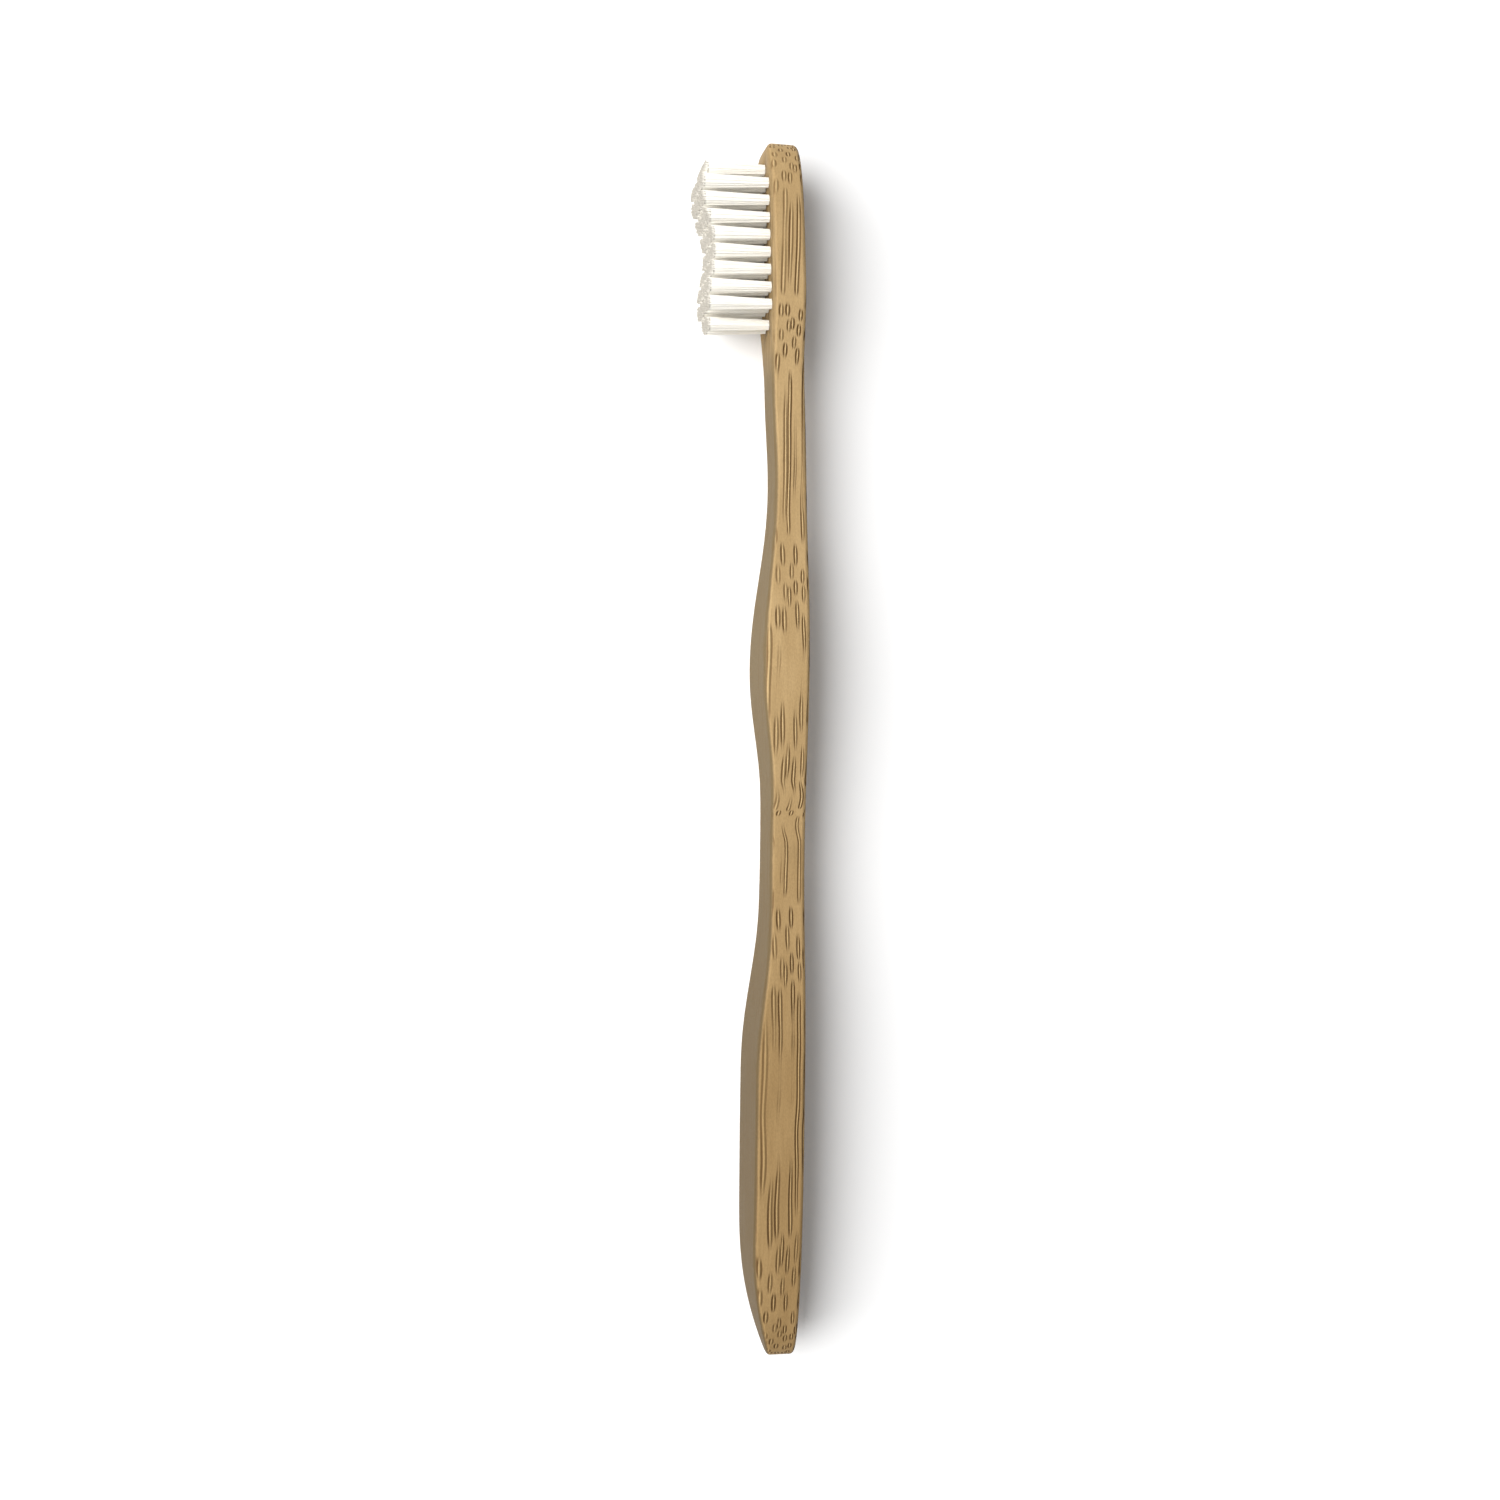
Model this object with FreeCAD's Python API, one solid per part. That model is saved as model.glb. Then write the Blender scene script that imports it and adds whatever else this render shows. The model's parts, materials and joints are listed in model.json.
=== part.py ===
import FreeCAD, Part
import math
import os
from FreeCAD import Vector

# Manual toothbrush with a bamboo handle, lying on its side with its head at +Y.
# X runs through the thickness: the bristles point to -X and the flat back faces +X.
# Y runs along the brush and Z up, across its width. All sizes are in millimetres.

# Stretches of the handle, in order from the handle end to the tip
END_LENGTH = 36.0
BELLY_LENGTH = 12.0
BELLY_TO_WAIST = 31.0
WAIST_TO_THUMB = 29.0
THUMB_TO_NECK = 28.0
NECK_LENGTH = 16.0
NECK_TO_HEAD = 16.0
HEAD_LENGTH = 6.0
NOSE_LENGTH = 16.0

# Widths, seen from the bristle side
BELLY_WIDTH = 13.6
WAIST_WIDTH = 8.8
THUMB_WIDTH = 12.2
NECK_WIDTH = 7.0
HEAD_WIDTH = 13.0

# Thicknesses, seen from the side
END_THICKNESS = 4.2
BELLY_THICKNESS = 7.75
WAIST_THICKNESS = 5.55
THUMB_THICKNESS = 7.3
NECK_THICKNESS = 5.1
HEAD_THICKNESS = 5.2

# Side outline: the swept-up end, the long waist, and leads before the end of a stretch
END_SWEEP = 21.0
END_SLOPE = 0.36
WAIST_LENGTH = 16.0
BELLY_LEAD = 4.0
HEAD_FACE_LEAD = 2.5

# Head leaning forward, in degrees, from the straight back
HEAD_LEAN = 2.3
BEND_LEAD = 5.0
BEND_RADIUS = 800.0

# Curves: how full the two ends are and how softly the swells run out, as shares
NOSE_FULLNESS = 0.66
END_ROUNDNESS = 0.7
END_TAPER = 0.55
EASE = 0.38
STEPS = 8

# Rounding of the handle's edges, and of the corners of its two ends
EDGE_ROUND = 0.7
TIP_FACE_ROUND = 3.0
TIP_BACK_ROUND = 2.0
END_FACE_ROUND = 2.0
END_BACK_ROUND = 1.5
CORNER_REACH = 0.6

# Bristle field: rows across the head, counted from the tip, the first and last one shorter
ROWS = 10
ROW_PITCH = 2.68
FIRST_ROW_FROM_TIP = 4.5
COLUMN_PITCH = 2.5
FIELD_MARGIN = 2.5

# Drilled holes, and the flat metal anchor that is punched into each one
HOLE_DIAMETER = 1.7
HOLE_DEPTH = 3.4
ANCHOR_BITE = 0.2
ANCHOR_HEIGHT = 1.5
ANCHOR_THICKNESS = 0.25
FOLD_DEPTH = 0.45

# Tufts: folded round the anchor, spreading to the tip and trimmed to a wave
TUFT_SLACK = 0.02
TUFT_GAP = 0.2
FOLD_CHAMFER = 0.25
TRIM_TIP = 8.9
TRIM_PEAK = 10.9
TRIM_PEAK_FROM_TIP = 8.2
TRIM_DIP = 9.2
TRIM_DIP_FROM_TIP = 17.2
TRIM_HEEL_PEAK = 10.35
TRIM_HEEL_PEAK_FROM_TIP = 25.0
TRIM_HEEL = 9.6

# Cutting tools reach this far past what they cut, and an edge this true is straight
OVERRUN = 1.0
STRAIGHT = 1e-4

# Places along the brush, from the handle end
BELLY_STOP = END_LENGTH + BELLY_LENGTH
WAIST_AT = BELLY_STOP + BELLY_TO_WAIST
THUMB_AT = WAIST_AT + WAIST_TO_THUMB
NECK_START = THUMB_AT + THUMB_TO_NECK
NECK_STOP = NECK_START + NECK_LENGTH
HEAD_START = NECK_STOP + NECK_TO_HEAD
HEAD_STOP = HEAD_START + HEAD_LENGTH
LENGTH = HEAD_STOP + NOSE_LENGTH

LEAN = math.radians(HEAD_LEAN)
BEND_AT = NECK_START - BEND_LEAD
BEND_REACH = BEND_RADIUS * math.tan(LEAN / 2)
COLUMNS = 1 + int((HEAD_WIDTH - 2 * FIELD_MARGIN) / COLUMN_PITCH)
ANCHOR_WIDTH = HOLE_DIAMETER + 2 * ANCHOR_BITE
TUFT_ROOT_RADIUS = HOLE_DIAMETER / 2 - TUFT_SLACK
TUFT_TIP_RADIUS = (min(ROW_PITCH, COLUMN_PITCH) - TUFT_GAP) / 2
ALONG = Vector(0, 1, 0)
ACROSS = Vector(0, 0, 1)


def side_point(along, height):
    """A point of the side outline: its place along the brush and its height over the back."""
    return Vector(-height, along, 0)


def face_point(along, across):
    """A point of the face outline: its place along the brush and across the width."""
    return Vector(0, along, across)


def mirrored(point):
    """The same point on the other half of the face outline."""
    return Vector(point.x, point.y, -point.z)


def leaning_back(along):
    """Height of the straight line that the back of neck and head follows."""
    return math.tan(LEAN) * (along - BEND_AT)


def leaning_face(along):
    """Height of the flat bristle face of the head."""
    return leaning_back(along) + HEAD_THICKNESS / math.cos(LEAN)


def head_point(from_tip, height, across=0.0):
    """A point over the bristle face of the head, whose height runs square to that face."""
    along = LENGTH - from_tip * math.cos(LEAN) - height * math.sin(LEAN)
    above = leaning_face(LENGTH) - from_tip * math.sin(LEAN) + height * math.cos(LEAN)
    return Vector(-above, along, across)


def sweep(start, start_run, stop, stop_run):
    """A curve that leaves one point along its run and comes into the other along its run."""
    curve = Part.BezierCurve()
    curve.setPoles([start, start + start_run, stop - stop_run, stop])
    return curve


def flowing_curves(stations):
    """Curves through points that each have the direction of the line there."""
    curves = []
    for (start, start_way), (stop, stop_way) in zip(stations, stations[1:]):
        run = EASE * (stop - start).Length
        curves.append(sweep(start, start_way * run, stop, stop_way * run))
    return curves


def prism(edges, depth):
    """The solid that a closed outline sweeps out, half to each side of its plane."""
    face = Part.Face(Part.Wire(edges))
    face.translate(depth * -0.5)
    return face.extrude(depth)


def points_on(curves):
    """Points in even steps along curves that follow each other, without the last one's end."""
    return [curve.value(step / STEPS) for curve in curves for step in range(STEPS)]


def cut_at(curve, points):
    """Edges of one smooth curve, cut at the points."""
    stops = sorted(curve.parameter(point) for point in points)
    stops = [curve.FirstParameter] + stops + [curve.LastParameter]
    return [curve.toShape(start, stop) for start, stop in zip(stops, stops[1:])]


def face_outline():
    """Edges of the outline seen from the bristle side, cut from one smooth closed curve."""
    widths = [
        (END_LENGTH, BELLY_WIDTH),
        (BELLY_STOP, BELLY_WIDTH),
        (WAIST_AT, WAIST_WIDTH),
        (THUMB_AT, THUMB_WIDTH),
        (NECK_START, NECK_WIDTH),
        (NECK_STOP, NECK_WIDTH),
        (HEAD_START, HEAD_WIDTH),
        (HEAD_STOP, HEAD_WIDTH),
    ]
    stations = [(face_point(along, width / 2), ALONG) for along, width in widths]
    end_out = ACROSS * (END_ROUNDNESS * BELLY_WIDTH / 2)
    end_in = ALONG * (END_TAPER * END_LENGTH)
    nose_out = ALONG * (NOSE_FULLNESS * NOSE_LENGTH)
    nose_in = ACROSS * (-NOSE_FULLNESS * HEAD_WIDTH / 2)
    tip = face_point(LENGTH, 0)
    rounded_end = sweep(face_point(0, 0), end_out, stations[0][0], end_in)
    nose = sweep(stations[-1][0], nose_out, tip, nose_in)
    half = points_on([rounded_end] + flowing_curves(stations) + [nose])
    loop = Part.BSplineCurve()
    far_half = [mirrored(point) for point in reversed(half[1:])]
    loop.interpolate(Points=half + [tip] + far_half, PeriodicFlag=True)
    turns = [point for point, _ in stations]
    return cut_at(loop, turns + [tip] + [mirrored(point) for point in turns])


def side_outline():
    """Edges of the outline seen from the side, and its four corners with their rounding."""
    head_at = NECK_STOP - HEAD_FACE_LEAD
    end_height = END_THICKNESS - END_SLOPE * CORNER_REACH
    level = side_point(1, 0)
    rising = side_point(1, END_SLOPE).normalize()
    leaning = side_point(math.cos(LEAN), math.sin(LEAN))
    heights = [
        (-CORNER_REACH, end_height, rising),
        (END_SWEEP, BELLY_THICKNESS, level),
        (BELLY_STOP - BELLY_LEAD, BELLY_THICKNESS, level),
        (WAIST_AT - WAIST_LENGTH / 2, WAIST_THICKNESS, level),
        (WAIST_AT + WAIST_LENGTH / 2, WAIST_THICKNESS, level),
        (THUMB_AT, THUMB_THICKNESS, level),
        (NECK_START, leaning_back(NECK_START) + NECK_THICKNESS, level),
        (head_at, leaning_face(head_at), leaning),
    ]
    stations = [(side_point(along, height), way) for along, height, way in heights]
    end_face = stations[0][0]
    head_face = stations[-1][0]
    top = Part.BSplineCurve()
    top.interpolate(
        Points=points_on(flowing_curves(stations)) + [head_face],
        InitialTangent=rising,
        FinalTangent=leaning,
    )
    end_back = side_point(-CORNER_REACH, 0)
    bend_start = side_point(BEND_AT - BEND_REACH, 0)
    bend_middle = side_point(
        BEND_AT - BEND_REACH + BEND_RADIUS * math.sin(LEAN / 2),
        BEND_RADIUS * (1 - math.cos(LEAN / 2)),
    )
    bend_stop = side_point(BEND_AT + BEND_REACH * math.cos(LEAN), BEND_REACH * math.sin(LEAN))
    tip_back = head_point(-CORNER_REACH, -HEAD_THICKNESS)
    tip_face = head_point(-CORNER_REACH, 0)
    lines = [
        Part.LineSegment(end_face, end_back),
        Part.LineSegment(end_back, bend_start),
        Part.Arc(bend_start, bend_middle, bend_stop),
        Part.LineSegment(bend_stop, tip_back),
        Part.LineSegment(tip_back, tip_face),
        Part.LineSegment(tip_face, head_face),
    ]
    edges = [line.toShape() for line in lines]
    edges += reversed(cut_at(top, [point for point, _ in stations[1:-1]]))
    corners = [
        (tip_face, TIP_FACE_ROUND),
        (tip_back, TIP_BACK_ROUND),
        (end_face, END_FACE_ROUND),
        (end_back, END_BACK_ROUND),
    ]
    return edges, corners


def goes_round(edge):
    """Whether an edge follows the handle's outline, and isn't straight across or through it."""
    way = edge.Vertexes[-1].Point - edge.Vertexes[0].Point
    straight = abs(way.Length - edge.Length) < STRAIGHT
    return not (straight and max(abs(way.x), abs(way.z)) > abs(way.y))


def handle_blank():
    """The sawn and shaped bamboo strip, before it is drilled."""
    edges, corners = side_outline()
    widest = max(BELLY_WIDTH, THUMB_WIDTH, HEAD_WIDTH)
    side = prism(edges, ACROSS * (widest + OVERRUN))
    for corner, radius in corners:
        edge = min(side.Edges, key=lambda e: e.CenterOfMass.distanceToPoint(corner))
        side = side.makeFillet(radius, [edge])
    face = prism(face_outline(), Vector(2 * (side.BoundBox.XLength + OVERRUN), 0, 0))
    blank = side.common(face).Solids[0]
    return blank.makeFillet(EDGE_ROUND, [edge for edge in blank.Edges if goes_round(edge)])


def tuft_places():
    """Name, distance from the tip and place across the head, for every tuft."""
    places = []
    for row in range(1, ROWS + 1):
        from_tip = FIRST_ROW_FROM_TIP + (row - 1) * ROW_PITCH
        left_out = 1 if row in (1, ROWS) else 0
        for column in range(left_out, COLUMNS - left_out):
            name = f"tuft_{row:02d}_{chr(ord('a') + column)}"
            places.append((name, from_tip, (column - (COLUMNS - 1) / 2) * COLUMN_PITCH))
    return places


def upright(shape, from_tip, across):
    """Stand a shape that was made along +X square on the head, at a tuft's place."""
    shape.rotate(Vector(0, 0, 0), Vector(0, 0, 1), 180 + HEAD_LEAN)
    shape.translate(head_point(from_tip, 0, across))
    return shape


def hole(from_tip, across):
    """The drill's cut, from the bottom of the hole out past the bristle face."""
    bottom = Vector(-HOLE_DEPTH, 0, 0)
    drill = Part.makeCylinder(HOLE_DIAMETER / 2, HOLE_DEPTH + OVERRUN, bottom, Vector(1, 0, 0))
    return upright(drill, from_tip, across)


def anchor(from_tip, across, clearance=0.0):
    """The flat plate over the folded filaments, with its width along the grain."""
    size = Vector(ANCHOR_HEIGHT, ANCHOR_WIDTH, ANCHOR_THICKNESS)
    size += Vector(1, 1, 1) * (2 * clearance)
    corner = Vector(FOLD_DEPTH - HOLE_DEPTH - clearance, -size.y / 2, -size.z / 2)
    return upright(Part.makeBox(size.x, size.y, size.z, corner), from_tip, across)


def trim_block():
    """The space under the trimming cutter, over the whole bristle field."""
    start = FIRST_ROW_FROM_TIP - ROW_PITCH
    stop = FIRST_ROW_FROM_TIP + ROWS * ROW_PITCH
    level = head_point(1, 0) - head_point(0, 0)
    crests = [
        (TRIM_PEAK_FROM_TIP, TRIM_PEAK),
        (TRIM_DIP_FROM_TIP, TRIM_DIP),
        (TRIM_HEEL_PEAK_FROM_TIP, TRIM_HEEL_PEAK),
    ]
    stations = [(head_point(from_tip, height), level) for from_tip, height in crests]
    first = head_point(start, TRIM_TIP)
    last = head_point(stop, TRIM_HEEL)
    rise = (stations[0][0] - first).normalize()
    fall = (last - stations[-1][0]).normalize()
    lines = flowing_curves([(first, rise)] + stations + [(last, fall)])
    floor_start = head_point(start, -HOLE_DEPTH)
    floor_stop = head_point(stop, -HOLE_DEPTH)
    lines += [
        Part.LineSegment(last, floor_stop),
        Part.LineSegment(floor_stop, floor_start),
        Part.LineSegment(floor_start, first),
    ]
    return prism([line.toShape() for line in lines], ACROSS * (2 * COLUMNS * COLUMN_PITCH))


def tuft(from_tip, across, trim):
    """One bundle of filaments: a folded root in its hole and a spreading free length."""
    bottom = TUFT_SLACK - HOLE_DEPTH
    top = TRIM_PEAK + OVERRUN
    spread = (TUFT_TIP_RADIUS - TUFT_ROOT_RADIUS) / TRIM_PEAK
    outline = [
        Vector(bottom, 0, 0),
        Vector(bottom, TUFT_ROOT_RADIUS - FOLD_CHAMFER, 0),
        Vector(bottom + FOLD_CHAMFER, TUFT_ROOT_RADIUS, 0),
        Vector(0, TUFT_ROOT_RADIUS, 0),
        Vector(top, TUFT_ROOT_RADIUS + spread * top, 0),
        Vector(top, 0, 0),
        Vector(bottom, 0, 0),
    ]
    bundle = Part.Face(Part.makePolygon(outline)).revolve(Vector(0, 0, 0), Vector(1, 0, 0), 360)
    bundle = upright(bundle, from_tip, across).common(trim)
    return bundle.cut(anchor(from_tip, across, TUFT_SLACK)).Solids[0]


places = tuft_places()
anchors = [anchor(from_tip, across) for _, from_tip, across in places]
holes = [hole(from_tip, across) for _, from_tip, across in places]
trim = trim_block()
parts = {
    "handle": handle_blank().cut(holes + anchors).Solids[0],
    "anchors": Part.makeCompound(anchors),
}
for name, from_tip, across in places:
    parts[name] = tuft(from_tip, across, trim)

# The origin goes under the middle of the brush, on the surface that it lies on
box = Part.makeCompound(list(parts.values())).optimalBoundingBox(False)
to_origin = Vector(-box.Center.x, -box.Center.y, -box.ZMin)
os.makedirs("parts", exist_ok=True)
for name, shape in parts.items():
    shape.translate(to_origin)
    shape.exportStep(f"parts/{name}.step")
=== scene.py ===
import json
import math
import random

import bpy
from mathutils import Matrix, Vector

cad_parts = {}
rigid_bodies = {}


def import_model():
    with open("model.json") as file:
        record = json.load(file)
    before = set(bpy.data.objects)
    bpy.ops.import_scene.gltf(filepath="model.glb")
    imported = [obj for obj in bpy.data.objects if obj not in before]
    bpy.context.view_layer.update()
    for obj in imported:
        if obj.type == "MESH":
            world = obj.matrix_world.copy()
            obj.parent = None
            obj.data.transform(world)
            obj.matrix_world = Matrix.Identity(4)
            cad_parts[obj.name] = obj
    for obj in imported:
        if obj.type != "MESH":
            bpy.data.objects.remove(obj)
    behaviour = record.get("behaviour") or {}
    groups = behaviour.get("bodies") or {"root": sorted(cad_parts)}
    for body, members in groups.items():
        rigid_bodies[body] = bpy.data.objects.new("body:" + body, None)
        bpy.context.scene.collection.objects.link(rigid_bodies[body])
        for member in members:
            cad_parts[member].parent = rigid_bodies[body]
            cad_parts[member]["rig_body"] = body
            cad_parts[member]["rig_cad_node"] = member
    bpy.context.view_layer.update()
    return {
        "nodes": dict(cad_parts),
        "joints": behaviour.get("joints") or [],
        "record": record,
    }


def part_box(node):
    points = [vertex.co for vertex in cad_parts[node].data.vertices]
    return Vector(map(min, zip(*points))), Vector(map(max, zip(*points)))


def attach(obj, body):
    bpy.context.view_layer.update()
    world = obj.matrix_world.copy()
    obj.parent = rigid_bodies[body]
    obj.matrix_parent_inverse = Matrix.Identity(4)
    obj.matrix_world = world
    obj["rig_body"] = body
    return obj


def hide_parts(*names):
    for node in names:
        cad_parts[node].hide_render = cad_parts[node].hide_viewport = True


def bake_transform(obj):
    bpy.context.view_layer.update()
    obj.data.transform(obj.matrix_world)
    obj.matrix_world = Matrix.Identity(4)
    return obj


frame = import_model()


# Handle: one strip of bamboo, sawn, shaped on a profile cutter and sanded bare.
# Its fibre bundles run the whole length, close together under the skin at the back and
# sparse towards the bristle side, so sloping faces cut them into ovals and ends into dots.

WELD_DISTANCE = 1e-6
HANDLE_SMOOTH_ANGLE = math.radians(32)

handle_skin = frame["nodes"]["handle"].copy()
handle_skin.data = frame["nodes"]["handle"].data.copy()
handle_skin.name = "handle_skin"
bpy.context.collection.objects.link(handle_skin)
handle_skin.parent = None
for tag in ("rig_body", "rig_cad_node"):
    del handle_skin[tag]
bpy.ops.object.select_all(action="DESELECT")
handle_skin.select_set(True)
bpy.context.view_layer.objects.active = handle_skin
bpy.ops.object.mode_set(mode="EDIT")
bpy.ops.mesh.select_all(action="SELECT")
bpy.ops.mesh.remove_doubles(threshold=WELD_DISTANCE)
bpy.ops.object.mode_set(mode="OBJECT")
bpy.ops.object.shade_smooth_by_angle(angle=HANDLE_SMOOTH_ANGLE)


class Wiring:
    """Nodes of one material or group, each made with its settings and its inputs at once."""

    SPACING = 180

    def __init__(self, tree):
        self.tree = tree

    def feed(self, node, inputs):
        """Links each input of a node to a socket, or sets it to a value."""
        for name, value in inputs.items():
            if isinstance(value, bpy.types.NodeSocket):
                self.tree.links.new(value, node.inputs[name])
            else:
                node.inputs[name].default_value = value

    def surface(self, inputs):
        """Feeds the surface of a material."""
        self.feed(self.tree.nodes["Principled BSDF"], inputs)

    def node(self, kind, inputs, **settings):
        made = self.tree.nodes.new("ShaderNode" + kind)
        made.location = (self.SPACING * len(self.tree.nodes), 0)
        for name, value in settings.items():
            setattr(made, name, value)
        self.feed(made, inputs)
        return made

    def math(self, operation, first, second=0.0, third=0.0):
        return self.node("Math", {0: first, 1: second, 2: third}, operation=operation).outputs[0]

    def times(self, first, second):
        return self.math("MULTIPLY", first, second)

    def span(self, value, least, width):
        """Spreads a value from 0 to 1 over a width that begins at the least."""
        return self.math("MULTIPLY_ADD", value, width, least)

    def fade(self, value, edges, low=0.0, high=1.0):
        """A smooth step from low at the first edge to high at the second."""
        limits = {"From Min": edges[0], "From Max": edges[1], "To Min": low, "To Max": high}
        step = self.node("MapRange", {"Value": value, **limits}, interpolation_type="SMOOTHSTEP")
        return step.outputs["Result"]

    def vector(self, operation, inputs):
        return self.node("VectorMath", inputs, operation=operation).outputs[0]

    def parts(self, vector):
        """The three parts of a vector."""
        return list(self.node("SeparateXYZ", {0: vector}).outputs)

    def mix(self, share, first, second, blend="MIX"):
        inputs = {0: share, 6: first, 7: second}
        return self.node("Mix", inputs, data_type="RGBA", blend_type=blend).outputs[2]

    def uneven(self, patch, stretch):
        """A tone from 0 to 1 in patches, with their number to the metre and their stretch."""
        inputs = {"Patch": patch, "Stretch": stretch}
        return self.node("Group", inputs, node_tree=uneven_tone).outputs["Tone"]


def new_material(name):
    """A material with nodes, and the wiring of them."""
    material = bpy.data.materials.new(name)
    material.use_nodes = True
    return material, Wiring(material.node_tree)


def dress(piece, material):
    """Gives a piece its one material."""
    piece.data.materials.clear()
    piece.data.materials.append(material)


# Uneven tone: the slight patchiness that bamboo, bristles and drawn brass all have
TONE_DETAIL = 3.0
TONE_ROUGHNESS = 0.6
TONE_EDGES = (0.28, 0.72)

uneven_tone = bpy.data.node_groups.new("uneven_tone", "ShaderNodeTree")
uneven_tone.interface.new_socket("Patch", in_out="INPUT", socket_type="NodeSocketFloat")
uneven_tone.interface.new_socket("Stretch", in_out="INPUT", socket_type="NodeSocketVector")
uneven_tone.interface.new_socket("Tone", in_out="OUTPUT", socket_type="NodeSocketFloat")
wire = Wiring(uneven_tone)
group_in = uneven_tone.nodes.new("NodeGroupInput")
group_out = uneven_tone.nodes.new("NodeGroupOutput")
spot = wire.node("TexCoord", {})
stretched = wire.vector("MULTIPLY", {0: spot.outputs["Object"], 1: group_in.outputs["Stretch"]})
cloud_inputs = {"Detail": TONE_DETAIL, "Roughness": TONE_ROUGHNESS}
cloud_inputs.update({"Vector": stretched, "Scale": group_in.outputs["Patch"]})
cloud = wire.node("TexNoise", cloud_inputs)
wire.feed(group_out, {"Tone": wire.fade(cloud.outputs["Fac"], TONE_EDGES)})

# Lay of the bundles, in millimetres from the middle of the brush
MM_PER_METRE = 1000.0
BACK_OF_STRIP = 9.07
BUNDLE_PITCH_DEPTH = 0.84
BUNDLE_PITCH_ACROSS = 0.85
BUNDLE_SHIFT = 0.4
BUNDLE_STAGGER = 0.45
BUNDLE_SCATTER = 0.6
BUNDLE_THINNING = 0.03
WANDER_RATE = (0.1, 0.075, 0.1)
WANDER_DEPTH = 1.0
WANDER_ACROSS = 0.9
STEM_NODE_AT = -9.4
STEM_NODE_EDGES = (0.6, 5.0)
STEM_NODE_SLANT = 0.28
STEM_JUMP_EDGES = (-1.2, 1.0)
STEM_JUMP = 0.8

# Form of one bundle, in shares of the pitch
SHEATH_AT = 0.24
SHEATH_CURVE = 1.5
SHEATH_EDGES = (0.04, 0.19)
SHEATH_SIDES = (-0.1, 0.1)
SHEATH_BACK_SHARE = 0.72
LENS_EDGES = (0.12, 0.37)
CORE_EDGES = (0.02, 0.19)

# Strength of the bundles. Depths and places are in millimetres, the inner face's edges are parts
# of its normal, and the two pairs of strengths are a least value and a width.
STRENGTH_DEPTHS = (2.5, 8.0)
STRENGTH_NEAR_BACK = 1.5
STRENGTH_DEEP = 0.9
BUNDLE_STRENGTHS = (0.65, 0.5)
PATCH_STRENGTHS = (0.75, 0.4)
# The inner face's mask also lays painted shade on the bristle face, less of it at the head
INNER_FACE_EDGES = (-0.2, -0.8)
INNER_FACE_FADING = 0.72
INNER_SHARE_AT_HEAD = 0.6
NECK_TO_HEAD = (56.0, 66.0)

# Colours and surface of the bamboo, with patches as their number to the metre and their stretch
BROAD_PATCHES = (260.0, (1, 0.16, 1))
FINE_FIBRES = (3200.0, (1, 0.05, 1))
FINE_GRAINS = (5200.0, (1, 0.45, 1))
BUNDLE_CORE_COLOUR = (0.60, 0.425, 0.21, 1)
BUNDLE_SHEATH_COLOUR = (0.120, 0.064, 0.021, 1)
PITH_COLOUR = (0.48, 0.331, 0.161, 1)
PITH_DARK_COLOUR = (0.39, 0.26, 0.119, 1)
# Painted shade: the colour that darkens the bristle-side face
INNER_FACE_SHADE_COLOUR = (0.136, 0.096, 0.045, 1)
HANDLE_END_TINT = (0.74, 0.70, 0.63, 1)
NECK_TO_HANDLE_END = (15.0, -62.0)
FIBRE_SHARE = 0.5
CORE_SHARE = 0.75
SHEATH_SHARE = 0.95
GRAIN_SHADES = (0.93, 0.14)
BAMBOO_ROUGHNESS = (0.62, 0.12)
BAMBOO_SHINE = 0.15
CORE_RELIEF = 0.6
FIBRE_RELIEF = -0.15
GRAIN_RELIEF = -0.1
RELIEF_STRENGTH = 0.8
RELIEF_DEPTH = 0.00006

bamboo, wire = new_material("sanded_bamboo")
spot = wire.node("TexCoord", {})
in_mm = wire.vector("SCALE", {0: spot.outputs["Object"], "Scale": MM_PER_METRE})
through, along, across = wire.parts(in_mm)

# The bundles wander a little, and are set aside where the stem had a node
slow = wire.vector("MULTIPLY", {0: in_mm, 1: WANDER_RATE})
wander = wire.node("TexNoise", {"Vector": slow, "Scale": 1.0, "Detail": 1.0})
wander_parts = wire.node("SeparateColor", {0: wander.outputs["Color"]})
wander_depth = wire.span(wander_parts.outputs[0], -WANDER_DEPTH / 2, WANDER_DEPTH)
wander_across = wire.span(wander_parts.outputs[1], -WANDER_ACROSS / 2, WANDER_ACROSS)
from_node = wire.math("SUBTRACT", along, STEM_NODE_AT)
near_node = wire.fade(wire.math("ABSOLUTE", from_node), STEM_NODE_EDGES, 1.0, 0.0)
node_slant = wire.times(wire.times(from_node, near_node), STEM_NODE_SLANT)
node_jump = wire.fade(from_node, STEM_JUMP_EDGES, 0.0, STEM_JUMP)
depth = wire.math("SUBTRACT", BACK_OF_STRIP, through)
depth = wire.math("ADD", wire.math("ADD", depth, wander_depth), node_slant)
sideways = wire.math("ADD", wire.math("ADD", across, wander_across), node_jump)

# The strip's cross-section in cells, one to a bundle, wider apart deeper in
closeness = wire.span(depth, 1.0, -BUNDLE_THINNING)
cell_depth = wire.math("DIVIDE", wire.times(depth, closeness), BUNDLE_PITCH_DEPTH)
cell_across = wire.math("ADD", sideways, BUNDLE_SHIFT)
cell_across = wire.math("DIVIDE", cell_across, BUNDLE_PITCH_ACROSS)
cell_across = wire.math("MULTIPLY_ADD", cell_depth, BUNDLE_STAGGER, cell_across)
cell_place = wire.node("CombineXYZ", {0: cell_depth, 1: cell_across}).outputs[0]
bundles = wire.node(
    "TexVoronoi",
    {"Vector": cell_place, "Scale": 1.0, "Randomness": BUNDLE_SCATTER},
    voronoi_dimensions="2D",
    feature="F1",
)
bundle_parts = wire.node("SeparateColor", {0: bundles.outputs["Color"]})
from_core = wire.vector("SUBTRACT", {0: cell_place, 1: bundles.outputs["Position"]})
core_depth, core_across = wire.parts(from_core)[:2]
off_depth = wire.math("ABSOLUTE", core_depth)
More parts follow.
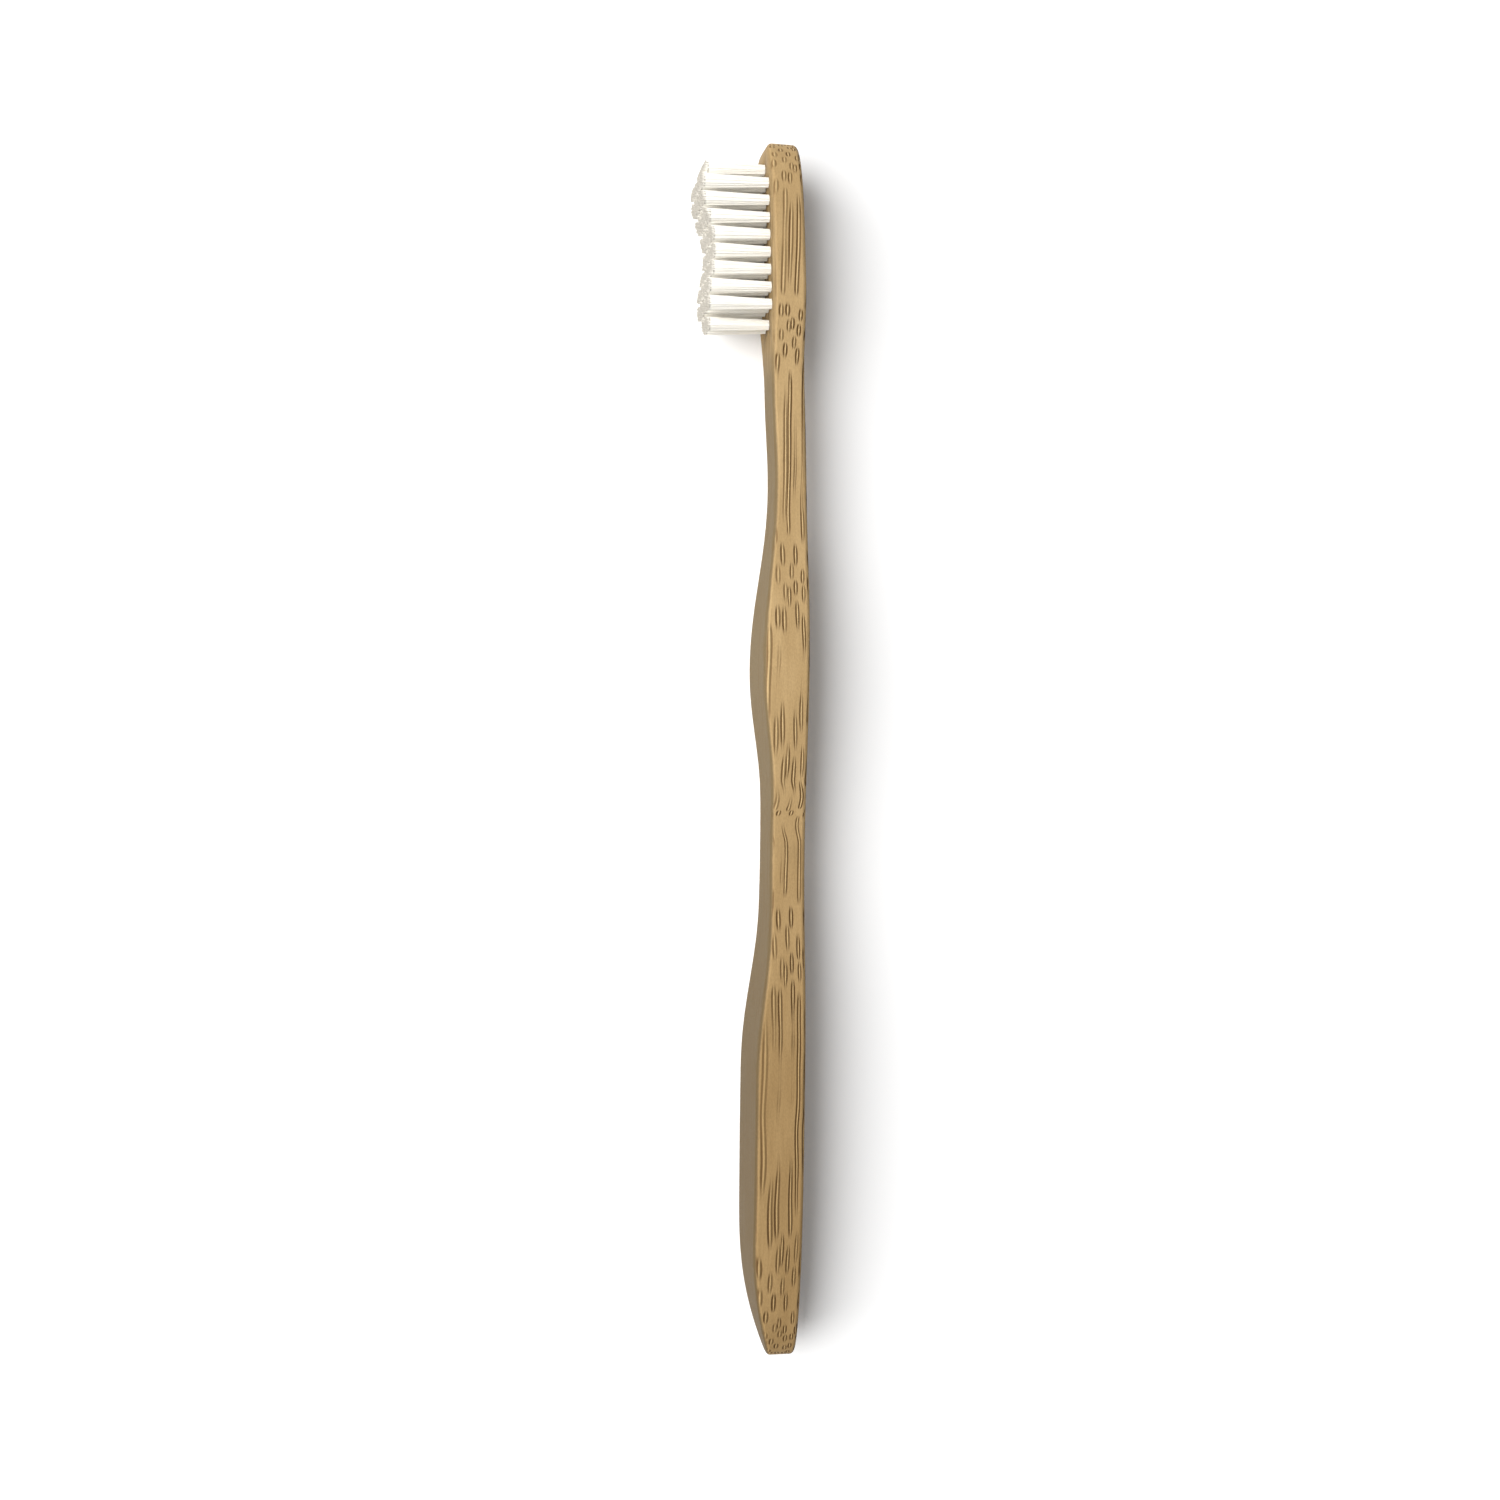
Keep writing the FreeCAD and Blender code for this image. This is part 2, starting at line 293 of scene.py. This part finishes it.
off_across = wire.math("MULTIPLY_ADD", core_depth, -BUNDLE_STAGGER, core_across)
off_across = wire.math("ABSOLUTE", off_across)

# Two dark sheaths close round a pale core, pointed at their ends like an eye
sheath_at = wire.span(wire.math("POWER", off_across, 2.0), SHEATH_AT, -SHEATH_CURVE)
off_sheath = wire.math("ABSOLUTE", wire.math("SUBTRACT", off_depth, sheath_at))
lens = wire.fade(off_across, LENS_EDGES, 1.0, 0.0)
sheath = wire.fade(off_sheath, SHEATH_EDGES, 1.0, 0.0)
sheath = wire.times(sheath, wire.fade(core_depth, SHEATH_SIDES, SHEATH_BACK_SHARE, 1.0))
sheath = wire.times(sheath, lens)
core = wire.times(wire.fade(off_depth, CORE_EDGES, 1.0, 0.0), lens)

# Bundles are strongest near the back, differ one from another, and fade on the bristle side
# The inner face's mask thins the bundles on the bristle side, and also places painted shade
# there
inner_face_sparse_and_shaded = wire.fade(wire.parts(spot.outputs["Normal"])[0], INNER_FACE_EDGES)
inner_face_sparse_and_shaded = wire.times(inner_face_sparse_and_shaded, wire.fade(along, NECK_TO_HEAD, 1.0, INNER_SHARE_AT_HEAD))
patches = wire.uneven(*BROAD_PATCHES)
strength = wire.fade(depth, STRENGTH_DEPTHS, STRENGTH_NEAR_BACK, STRENGTH_DEEP)
strength = wire.times(strength, wire.span(bundle_parts.outputs[0], *BUNDLE_STRENGTHS))
strength = wire.times(strength, wire.span(inner_face_sparse_and_shaded, 1.0, -INNER_FACE_FADING))
strength = wire.times(strength, wire.span(patches, *PATCH_STRENGTHS))
sheath = wire.times(sheath, strength)
core = wire.times(wire.times(core, strength), wire.math("SUBTRACT", 1.0, inner_face_sparse_and_shaded))

# Fine fibres between the bundles, painted shade on the inner face, and a darker handle half
fibres = wire.uneven(*FINE_FIBRES)
grains = wire.uneven(*FINE_GRAINS)
pith = wire.mix(patches, PITH_DARK_COLOUR, PITH_COLOUR)
pith = wire.mix(wire.times(fibres, FIBRE_SHARE), pith, PITH_DARK_COLOUR)
# Painted shade: the bristle-side face is darkened
pith = wire.mix(inner_face_sparse_and_shaded, pith, INNER_FACE_SHADE_COLOUR)
colour = wire.mix(wire.times(core, CORE_SHARE), pith, BUNDLE_CORE_COLOUR)
colour = wire.mix(wire.times(sheath, SHEATH_SHARE), colour, BUNDLE_SHEATH_COLOUR)
handle_half = wire.fade(along, NECK_TO_HANDLE_END)
colour = wire.mix(handle_half, colour, HANDLE_END_TINT, "MULTIPLY")
colour = wire.vector("SCALE", {0: colour, "Scale": wire.span(grains, *GRAIN_SHADES)})
relief = wire.math("SUBTRACT", wire.times(core, CORE_RELIEF), sheath)
relief = wire.math("MULTIPLY_ADD", fibres, FIBRE_RELIEF, relief)
relief = wire.math("MULTIPLY_ADD", grains, GRAIN_RELIEF, relief)
bump_inputs = {"Height": relief, "Strength": RELIEF_STRENGTH, "Distance": RELIEF_DEPTH}
wire.surface({
    "Base Color": colour,
    "Roughness": wire.span(sheath, *BAMBOO_ROUGHNESS),
    "Specular IOR Level": BAMBOO_SHINE,
    "Normal": wire.node("Bump", bump_inputs).outputs[0],
})

dress(handle_skin, bamboo)
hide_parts("handle")
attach(handle_skin, "handle")


# Anchors: short flat lengths of drawn brass wire, punched over the folded filaments.
# They sit deep in the holes and hold each tuft by biting into the bamboo on both sides.

BRASS_DARK_COLOUR = (0.62, 0.48, 0.25, 1)
BRASS_COLOUR = (0.76, 0.62, 0.36, 1)
BRASS_ROUGHNESS = (0.25, 0.2)
BRASS_STREAKS = (6000.0, (1, 0.1, 1))

brass, wire = new_material("drawn_brass")
streaks = wire.uneven(*BRASS_STREAKS)
wire.surface({
    "Base Color": wire.mix(streaks, BRASS_DARK_COLOUR, BRASS_COLOUR),
    "Metallic": 1.0,
    "Roughness": wire.span(streaks, *BRASS_ROUGHNESS),
})
anchors = frame["nodes"]["anchors"]
dress(anchors, brass)


# Tufts: off-white nylon filaments, folded in half round an anchor in each drilled hole.
# They spread a little from the hole to the tip, and a cutter trims the field to a wave.
# A plain core in each bundle stands for the filaments that can't be seen inside it.

FILAMENTS = 64
FILAMENT_SIDES = 5
FILAMENT_RADIUS = 0.000118
FILAMENT_LENGTH = 0.001
FILAMENT_RINGS = (0.25, 0.5, 0.75, 0.945)
FILAMENT_TIP_SHARE = 0.62
FILAMENT_SMOOTH_ANGLE = math.radians(80)
RING_TOLERANCE = 1e-7
END_SHARE = 0.99
TURN_TO_NEXT = 2.39996
ROOT_RADIUS = 0.00060
TIP_RADIUS = 0.00112
ROOT_DEPTH = 0.0026
PLATE_CLEARANCE = 0.00026
TIP_UNEVENNESS = 0.00020
TIP_STRAY = 0.00006
PACKED_SIDES = 16
PACKED_SHARE = 0.95
PACKED_SHORT = 0.00035
PACKED_RIM = 0.0003
PACKED_ROOT = 0.0012
NYLON_DARK_COLOUR = (0.94, 0.905, 0.82, 1)
NYLON_COLOUR = (0.98, 0.955, 0.895, 1)
# Painted shade for the trimmed ends of the tufts
CUT_END_SHADE_COLOUR = (0.33, 0.305, 0.26, 1)
NYLON_ROUGHNESS = (0.42, 0.1)
NYLON_SHINE = 0.3
NYLON_STREAKS = (2600.0, (0.12, 1, 1))


def cut_ring(height):
    """Cuts a ring of edges round the mesh that is being edited."""
    bpy.ops.mesh.select_all(action="SELECT")
    bpy.ops.mesh.bisect(plane_co=(0, 0, height), plane_no=(0, 0, 1), threshold=RING_TOLERANCE)


def mark_cut_end(strand, top):
    """Marks the corners at the trimmed end, where painted shade greys the nylon."""
    mark = strand.data.attributes.new("cut_end_shade", "FLOAT", "POINT")
    at_end = [1.0 if corner.co.z > top * END_SHARE else 0.0 for corner in strand.data.vertices]
    mark.data.foreach_set("value", at_end)


# One filament of a millimetre, along +Z, with a narrowed tip
bpy.ops.mesh.primitive_cylinder_add(
    vertices=FILAMENT_SIDES,
    radius=FILAMENT_RADIUS,
    depth=FILAMENT_LENGTH,
)
filament = bpy.context.active_object
filament.name = "filament"
bpy.ops.object.mode_set(mode="EDIT")
bpy.ops.mesh.select_all(action="SELECT")
bpy.ops.transform.translate(value=(0, 0, FILAMENT_LENGTH / 2))
for ring in FILAMENT_RINGS:
    cut_ring(FILAMENT_LENGTH * ring)
bpy.ops.object.mode_set(mode="OBJECT")
for corner in filament.data.vertices:
    corner.select = corner.co.z > FILAMENT_LENGTH * END_SHARE
for edge in filament.data.edges:
    edge.select = all(filament.data.vertices[index].select for index in edge.vertices)
for face in filament.data.polygons:
    face.select = all(filament.data.vertices[index].select for index in face.vertices)
bpy.ops.object.mode_set(mode="EDIT")
bpy.ops.transform.resize(value=(FILAMENT_TIP_SHARE, FILAMENT_TIP_SHARE, 1))
bpy.ops.object.mode_set(mode="OBJECT")
bpy.ops.object.shade_smooth_by_angle(angle=FILAMENT_SMOOTH_ANGLE)
mark_cut_end(filament, FILAMENT_LENGTH)

nylon, wire = new_material("off_white_nylon")
streaks = wire.uneven(*NYLON_STREAKS)
cut_end_shade = wire.node("Attribute", {}, attribute_name="cut_end_shade").outputs["Fac"]
nylon_colour = wire.mix(streaks, NYLON_DARK_COLOUR, NYLON_COLOUR)
wire.surface({
    # Painted shade: the marked trimmed ends are greyed
    "Base Color": wire.mix(cut_end_shade, nylon_colour, CUT_END_SHADE_COLOUR),
    "Roughness": wire.span(streaks, *NYLON_ROUGHNESS),
    "Specular IOR Level": NYLON_SHINE,
})

# Ways of the head, from the mouths of its holes
row_joints = {joint["child"]: joint for joint in frame["joints"]}
row_names = sorted(row_joints)
first_mouth = Vector(row_joints[row_names[0]]["pos_m"])
last_mouth = Vector(row_joints[row_names[-1]]["pos_m"])
to_heel = (last_mouth - first_mouth).normalized()
across_head = Vector((0, 0, 1))
outward = to_heel.cross(across_head).normalized()
if outward.x > 0:
    outward = -outward

# The trimmed wave: distance from the tip of the head, height over the bristle face, slope
FIRST_ROW_FROM_TIP = 0.0045
TRIM_TURNS = [
    (0.0018, 0.0089, 0.3125),
    (0.0082, 0.0109, 0.0),
    (0.0172, 0.0092, 0.0),
    (0.0250, 0.01035, 0.0),
    (0.0315, 0.0096, -0.115),
]


def from_tip(place):
    """Distance of a place on the head from its tip, along the head."""
    return FIRST_ROW_FROM_TIP + (place - first_mouth).dot(to_heel)


def trimmed_height(distance):
    """Height of the trimmed wave at a distance from the tip, smooth from turn to turn."""
    place = min(max(distance, TRIM_TURNS[0][0]), TRIM_TURNS[-1][0])
    for (start, low, slope), (stop, high, next_slope) in zip(TRIM_TURNS, TRIM_TURNS[1:]):
        if place <= stop:
            break
    share = (place - start) / (stop - start)
    eased = low + (high - low) * share * share * (3 - 2 * share)
    return eased + (place - start) * (1 - share) * (slope * (1 - share) - next_slope * share)


def stand(piece, foot, way, form):
    """Forms a piece that stands along +Z, and sets it on its foot so that it points the way."""
    turned = way.to_track_quat("Z", "Y").to_matrix().to_4x4()
    piece.data.transform(Matrix.Translation(foot) @ turned @ form)


def filament_ends(number, mouth, turn, chance):
    """Root and tip of one filament of a tuft, on a spiral that fills the round hole evenly."""
    ring = math.sqrt((number + 0.5) / FILAMENTS)
    angle = number * TURN_TO_NEXT + turn
    lengthwise, sideways = math.cos(angle) * ring, math.sin(angle) * ring
    beside = math.copysign(max(abs(sideways) * ROOT_RADIUS, PLATE_CLEARANCE), sideways)
    root = mouth + to_heel * (lengthwise * ROOT_RADIUS) + across_head * beside
    root -= outward * ROOT_DEPTH
    tip = mouth + to_heel * (lengthwise * TIP_RADIUS) + across_head * (sideways * TIP_RADIUS)
    tip += (to_heel * chance.uniform(-1, 1) + across_head * chance.uniform(-1, 1)) * TIP_STRAY
    height = trimmed_height(from_tip(tip)) - chance.random() * TIP_UNEVENNESS
    return root, tip + outward * height


def packed_core(mouth):
    """The plain core of a tuft, from within its hole to just under its trimmed end."""
    middle = from_tip(mouth)
    heights = [trimmed_height(middle + off) for off in (-TIP_RADIUS, 0, TIP_RADIUS)]
    top = min(heights) - PACKED_SHORT
    length = top + PACKED_ROOT
    bpy.ops.mesh.primitive_cone_add(
        vertices=PACKED_SIDES,
        radius1=ROOT_RADIUS * PACKED_SHARE,
        radius2=TIP_RADIUS * PACKED_SHARE,
        depth=length,
    )
    packed = bpy.context.active_object
    bpy.ops.object.mode_set(mode="EDIT")
    cut_ring(length / 2 - PACKED_RIM)
    bpy.ops.object.mode_set(mode="OBJECT")
    mark_cut_end(packed, length / 2)
    stand(packed, mouth, outward, Matrix.Translation((0, 0, (top - PACKED_ROOT) / 2)))
    return packed


def tuft_of_filaments(name, mouth, chance):
    """Copies of the filament from root to tip, joined to the core of their tuft."""
    turn = chance.uniform(0, math.tau)
    strands = []
    for number in range(FILAMENTS):
        root, tip = filament_ends(number, mouth, turn, chance)
        way = tip - root
        strand = filament.copy()
        strand.data = filament.data.copy()
        bpy.context.collection.objects.link(strand)
        stand(strand, root, way, Matrix.Diagonal((1, 1, way.length / FILAMENT_LENGTH, 1)))
        strands.append(strand)
    tuft = packed_core(mouth)
    for strand in strands:
        strand.select_set(True)
    bpy.ops.object.join()
    tuft.name = name
    return tuft


for row_name in row_names:
    row_mouth = Vector(row_joints[row_name]["pos_m"])
    for tuft_node in frame["record"]["behaviour"]["bodies"][row_name]:
        low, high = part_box(tuft_node)
        mouth = Vector((row_mouth.x, row_mouth.y, (low.z + high.z) / 2))
        bundle = tuft_of_filaments(tuft_node + "_filaments", mouth, random.Random(tuft_node))
        dress(bundle, nylon)
        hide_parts(tuft_node)
        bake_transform(bundle)
bpy.data.objects.remove(filament)


# Table: the plain white surface that the brush lies on for its picture.
# It takes the brush's soft shadow. The little glow that makes it white shows to the eye
# and in reflections, and lights nothing else.

TABLE_SIZE = 4.0
TABLE_COLOUR = (0.95, 0.95, 0.95, 1)
TABLE_GLOW = 0.03
TABLE_GLOW_COLOUR = (1, 1, 1, 1)

table_white, wire = new_material("white_table")
ray = wire.node("LightPath", {})
seen = wire.math("MAXIMUM", ray.outputs["Is Camera Ray"], ray.outputs["Is Glossy Ray"])
seen = wire.math("MAXIMUM", seen, ray.outputs["Is Transmission Ray"])
wire.surface({
    "Base Color": TABLE_COLOUR,
    "Roughness": 1.0,
    "Specular IOR Level": 0.0,
    "Emission Color": TABLE_GLOW_COLOUR,
    "Emission Strength": wire.times(seen, TABLE_GLOW),
})
bpy.ops.mesh.primitive_plane_add(size=TABLE_SIZE, location=(0, 0, 0))
table = bpy.context.active_object
table.name = "table"
dress(table, table_white)


# Light: one large soft lamp over the bristle side, in an even white room.
# The lamp stands a little towards the head, so each row of tufts shades the next.

ROOM_COLOUR = (1, 1, 1, 1)
ROOM_LIGHT = 0.27
LAMP_POWER = 35.0
LAMP_SIZE = 1.4
LAMP_PLACE = Vector((-0.93, 0.14, 0.85))

room = bpy.data.worlds.new("white_room")
room.use_nodes = True
walls = room.node_tree.nodes["Background"]
walls.inputs["Color"].default_value = ROOM_COLOUR
walls.inputs["Strength"].default_value = ROOM_LIGHT
bpy.context.scene.world = room
bpy.ops.object.light_add(type="AREA", location=LAMP_PLACE)
lamp = bpy.context.active_object
lamp.name = "soft_lamp"
lamp.data.energy = LAMP_POWER
lamp.data.size = LAMP_SIZE
lamp.rotation_euler = (-LAMP_PLACE).to_track_quat("-Z", "Y").to_euler()


# Camera: over the brush and leaning to its bristle side, turned by less than a degree.
# The brush is measured in shares of the picture's width, and stands right of the middle.

VIEW_DISTANCE = 0.28
VIEW_LEAN = math.radians(12.3)
BRUSH_SHARE = 1208 / 1500
BRUSH_LENGTH = 0.190
BRUSH_OFFSET = 28.5 / 1500
ROLL = math.radians(0.78)
MIDDLE_OF_BRUSH = Vector((0.0055, 0.0, 0.0068))
ALONG_BRUSH = Vector((0, 1, 0))
SENSOR_WIDTH = 36.0

focal = VIEW_DISTANCE * BRUSH_SHARE / BRUSH_LENGTH
bpy.ops.object.camera_add()
camera = bpy.context.active_object
camera.data.sensor_width = SENSOR_WIDTH
camera.data.lens = SENSOR_WIDTH * focal
lean_way = Vector((-math.sin(VIEW_LEAN), 0, math.cos(VIEW_LEAN)))
camera.location = MIDDLE_OF_BRUSH + VIEW_DISTANCE * lean_way
aim = VIEW_LEAN - math.atan(BRUSH_OFFSET / focal)
backward = Vector((-math.sin(aim), 0, math.cos(aim)))
level_right = ALONG_BRUSH.cross(backward)
right = level_right * math.cos(ROLL) + ALONG_BRUSH * math.sin(ROLL)
camera.rotation_euler = Matrix((right, backward.cross(right), backward)).transposed().to_euler()
bpy.context.scene.camera = camera
bpy.context.scene.view_settings.view_transform = "Standard"
